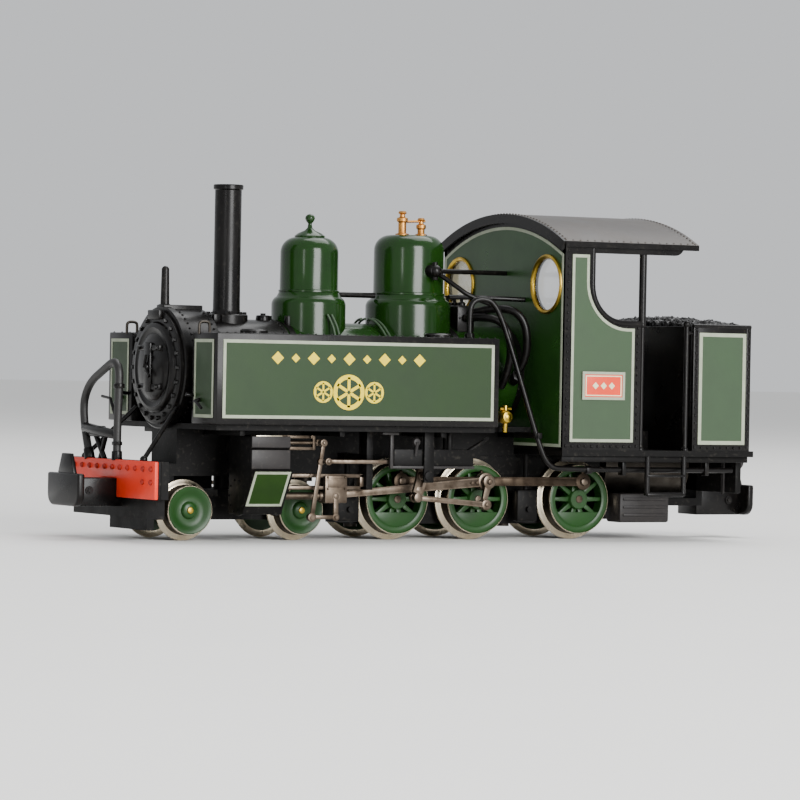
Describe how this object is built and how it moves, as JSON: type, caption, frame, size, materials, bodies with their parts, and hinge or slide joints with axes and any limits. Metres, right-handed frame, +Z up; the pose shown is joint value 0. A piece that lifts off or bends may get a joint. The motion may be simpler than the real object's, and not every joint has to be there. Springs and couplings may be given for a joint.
{
  "type": "model steam locomotive",
  "caption": "Model narrow-gauge 4-6-0 side-tank steam locomotive with outside valve gear, tall chimney, two domes, open cab and coal bunker.",
  "frame": {"origin": "below the middle of the engine, at the bottoms of the wheel flanges", "axes": "+X forwards towards the chimney end, +Y to the engine's left, +Z up"},
  "size_m": [0.0858, 0.028, 0.0385],
  "materials": {
    "green_paint": "gloss",
    "panel_green": "satin",
    "wheel_green": "satin",
    "black_paint": "satin",
    "roof_grey": "matte",
    "beam_red": "satin",
    "brass": "polished",
    "nickel": "satin",
    "steel": "satin",
    "glass": "gloss",
    "coal": "matte",
    "hose_black": "matte",
    "board": "satin"
  },
  "bodies": {
    "root": {"backhead": "black_paint", "beam_backing": "black_paint", "boiler": "green_paint", "brake_gear": "black_paint", "brass_fittings": "brass", "bunker": "panel_green", "cab_glazing": "glass", "cab_roof": "roof_grey", "cab_shell": "panel_green", "cab_steps": "black_paint", "chassis_frame": "black_paint", "chimney": "black_paint", "circuit_board": "board", "coal_load": "coal", "cylinders": "panel_green", "footplate": "black_paint", "front_beam": "beam_red", "front_coupler": "black_paint", "front_hose": "hose_black", "handrails": "steel", "keeper_plate": "black_paint", "motor_can": "steel", "name_plates": "beam_red", "pickup_strips": "brass", "rear_coupler": "black_paint", "sand_dome": "green_paint", "screws": "steel", "side_pipes": "black_paint", "side_tanks": "panel_green", "slide_bars": "steel", "smokebox": "black_paint", "smokebox_door": "black_paint", "steam_dome": "green_paint", "turret_box": "black_paint"},
    "bogie": {"bogie_frame": "black_paint"},
    "bogie_axle_front": {"bogie_wheels_front": "nickel"},
    "bogie_axle_rear": {"bogie_wheels_rear": "nickel"},
    "armature": {"armature_and_worm": "steel"},
    "driver_axle_middle": {"driver_tyres_middle": "nickel", "driver_centres_middle": "wheel_green", "return_cranks": "nickel", "worm_wheel": "brass"},
    "driver_axle_front": {"driver_tyres_front": "nickel", "driver_centres_front": "wheel_green"},
    "driver_axle_rear": {"driver_tyres_rear": "nickel", "driver_centres_rear": "wheel_green"},
    "coupling_rod_left": {"coupling_rod_left": "nickel"},
    "main_rod_left": {"main_rod_left": "nickel"},
    "eccentric_rod_left": {"eccentric_rod_left": "nickel"},
    "crosshead_left": {"crosshead_left": "nickel"},
    "combination_lever_left": {"combination_lever_left": "nickel"},
    "expansion_link_left": {"expansion_link_left": "nickel"},
    "radius_rod_left": {"radius_rod_left": "nickel"},
    "coupling_rod_right": {"coupling_rod_right": "nickel"},
    "main_rod_right": {"main_rod_right": "nickel"},
    "eccentric_rod_right": {"eccentric_rod_right": "nickel"},
    "crosshead_right": {"crosshead_right": "nickel"},
    "combination_lever_right": {"combination_lever_right": "nickel"},
    "expansion_link_right": {"expansion_link_right": "nickel"},
    "radius_rod_right": {"radius_rod_right": "nickel"}
  },
  "joints": [
    {"name": "driver_middle_spin", "type": "hinge", "parent": "root", "child": "driver_axle_middle", "pos_m": [-0.00487, 0, 0.00452], "axis": [0, 1, 0], "continuous": true},
    {"name": "driver_front_spin", "type": "hinge", "parent": "root", "child": "driver_axle_front", "pos_m": [0.00535, 0, 0.00452], "axis": [0, 1, 0], "continuous": true},
    {"name": "driver_rear_spin", "type": "hinge", "parent": "root", "child": "driver_axle_rear", "pos_m": [-0.018, 0, 0.00452], "axis": [0, 1, 0], "continuous": true},
    {"name": "armature_spin", "type": "hinge", "parent": "root", "child": "armature", "pos_m": [-0.0286, 0, 0.00812], "axis": [1, 0, 0], "continuous": true},
    {"name": "bogie_swivel", "type": "hinge", "parent": "root", "child": "bogie", "pos_m": [0.0239, 0, 0.0054], "axis": [0, 0, 1], "range_deg": [-6, 6]},
    {"name": "bogie_front_spin", "type": "hinge", "parent": "bogie", "child": "bogie_axle_front", "pos_m": [0.0306, 0, 0.0033], "axis": [0, 1, 0], "continuous": true},
    {"name": "bogie_rear_spin", "type": "hinge", "parent": "bogie", "child": "bogie_axle_rear", "pos_m": [0.0172, 0, 0.0033], "axis": [0, 1, 0], "continuous": true},
    {"name": "coupling_rod_left_turn", "type": "hinge", "parent": "driver_axle_middle", "child": "coupling_rod_left", "pos_m": [-0.00487, 0.0065, 0.00652], "axis": [0, 1, 0], "continuous": true},
    {"name": "main_rod_left_turn", "type": "hinge", "parent": "driver_axle_middle", "child": "main_rod_left", "pos_m": [-0.00487, 0.0074, 0.00652], "axis": [0, 1, 0], "continuous": true},
    {"name": "eccentric_rod_left_turn", "type": "hinge", "parent": "driver_axle_middle", "child": "eccentric_rod_left", "pos_m": [-0.0042, 0.0088, 0.004], "axis": [0, 1, 0], "continuous": true},
    {"name": "crosshead_left_slide", "type": "slide", "parent": "root", "child": "crosshead_left", "axis": [1, 0, 0], "range_m": [-0.00194, 0.00206]},
    {"name": "combination_lever_left_swing", "type": "hinge", "parent": "crosshead_left", "child": "combination_lever_left", "pos_m": [0.0181, 0.01, 0.0027], "axis": [0, 1, 0], "range_deg": [-14.9, 14.07]},
    {"name": "expansion_link_left_rock", "type": "hinge", "parent": "root", "child": "expansion_link_left", "pos_m": [0.0045, 0.0096, 0.0072], "axis": [0, 1, 0], "range_deg": [-18, 18]},
    {"name": "radius_rod_left_slide", "type": "slide", "parent": "root", "child": "radius_rod_left", "axis": [1, 0, 0], "range_m": [-0.0005, 0.0005]},
    {"name": "coupling_rod_right_turn", "type": "hinge", "parent": "driver_axle_middle", "child": "coupling_rod_right", "pos_m": [-0.00287, -0.0065, 0.00452], "axis": [0, 1, 0], "continuous": true},
    {"name": "main_rod_right_turn", "type": "hinge", "parent": "driver_axle_middle", "child": "main_rod_right", "pos_m": [-0.00287, -0.0074, 0.00452], "axis": [0, 1, 0], "continuous": true},
    {"name": "eccentric_rod_right_turn", "type": "hinge", "parent": "driver_axle_middle", "child": "eccentric_rod_right", "pos_m": [-0.00539, -0.0088, 0.00385], "axis": [0, 1, 0], "continuous": true},
    {"name": "crosshead_right_slide", "type": "slide", "parent": "root", "child": "crosshead_right", "axis": [1, 0, 0], "range_m": [-0.004, 0]},
    {"name": "combination_lever_right_swing", "type": "hinge", "parent": "crosshead_right", "child": "combination_lever_right", "pos_m": [0.02016, -0.01, 0.0027], "axis": [0, 1, 0], "range_deg": [0, 27.09]},
    {"name": "expansion_link_right_rock", "type": "hinge", "parent": "root", "child": "expansion_link_right", "pos_m": [0.0045, -0.0096, 0.0072], "axis": [0, 1, 0], "range_deg": [-18, 18]},
    {"name": "radius_rod_right_slide", "type": "slide", "parent": "root", "child": "radius_rod_right", "axis": [1, 0, 0], "range_m": [-0.0005, 0.0005]}
  ],
  "couplings": [
    {"joint": "driver_front_spin", "follows": "driver_middle_spin", "ratio": 1},
    {"joint": "driver_rear_spin", "follows": "driver_middle_spin", "ratio": 1},
    {"joint": "armature_spin", "follows": "driver_middle_spin", "ratio": 20},
    {"joint": "coupling_rod_left_turn", "follows": "driver_middle_spin", "ratio": -1},
    {"joint": "main_rod_left_turn", "follows": "driver_middle_spin", "ratio": -1},
    {"joint": "eccentric_rod_left_turn", "follows": "driver_middle_spin", "ratio": -1},
    {"joint": "combination_lever_left_swing", "follows": "crosshead_left_slide", "rad_per_m": -126},
    {"joint": "radius_rod_left_slide", "follows": "expansion_link_left_rock", "m_per_rad": 0.0015},
    {"joint": "coupling_rod_right_turn", "follows": "driver_middle_spin", "ratio": -1},
    {"joint": "main_rod_right_turn", "follows": "driver_middle_spin", "ratio": -1},
    {"joint": "eccentric_rod_right_turn", "follows": "driver_middle_spin", "ratio": -1},
    {"joint": "combination_lever_right_swing", "follows": "crosshead_right_slide", "rad_per_m": -118},
    {"joint": "radius_rod_right_slide", "follows": "expansion_link_right_rock", "m_per_rad": 0.0015}
  ]
}
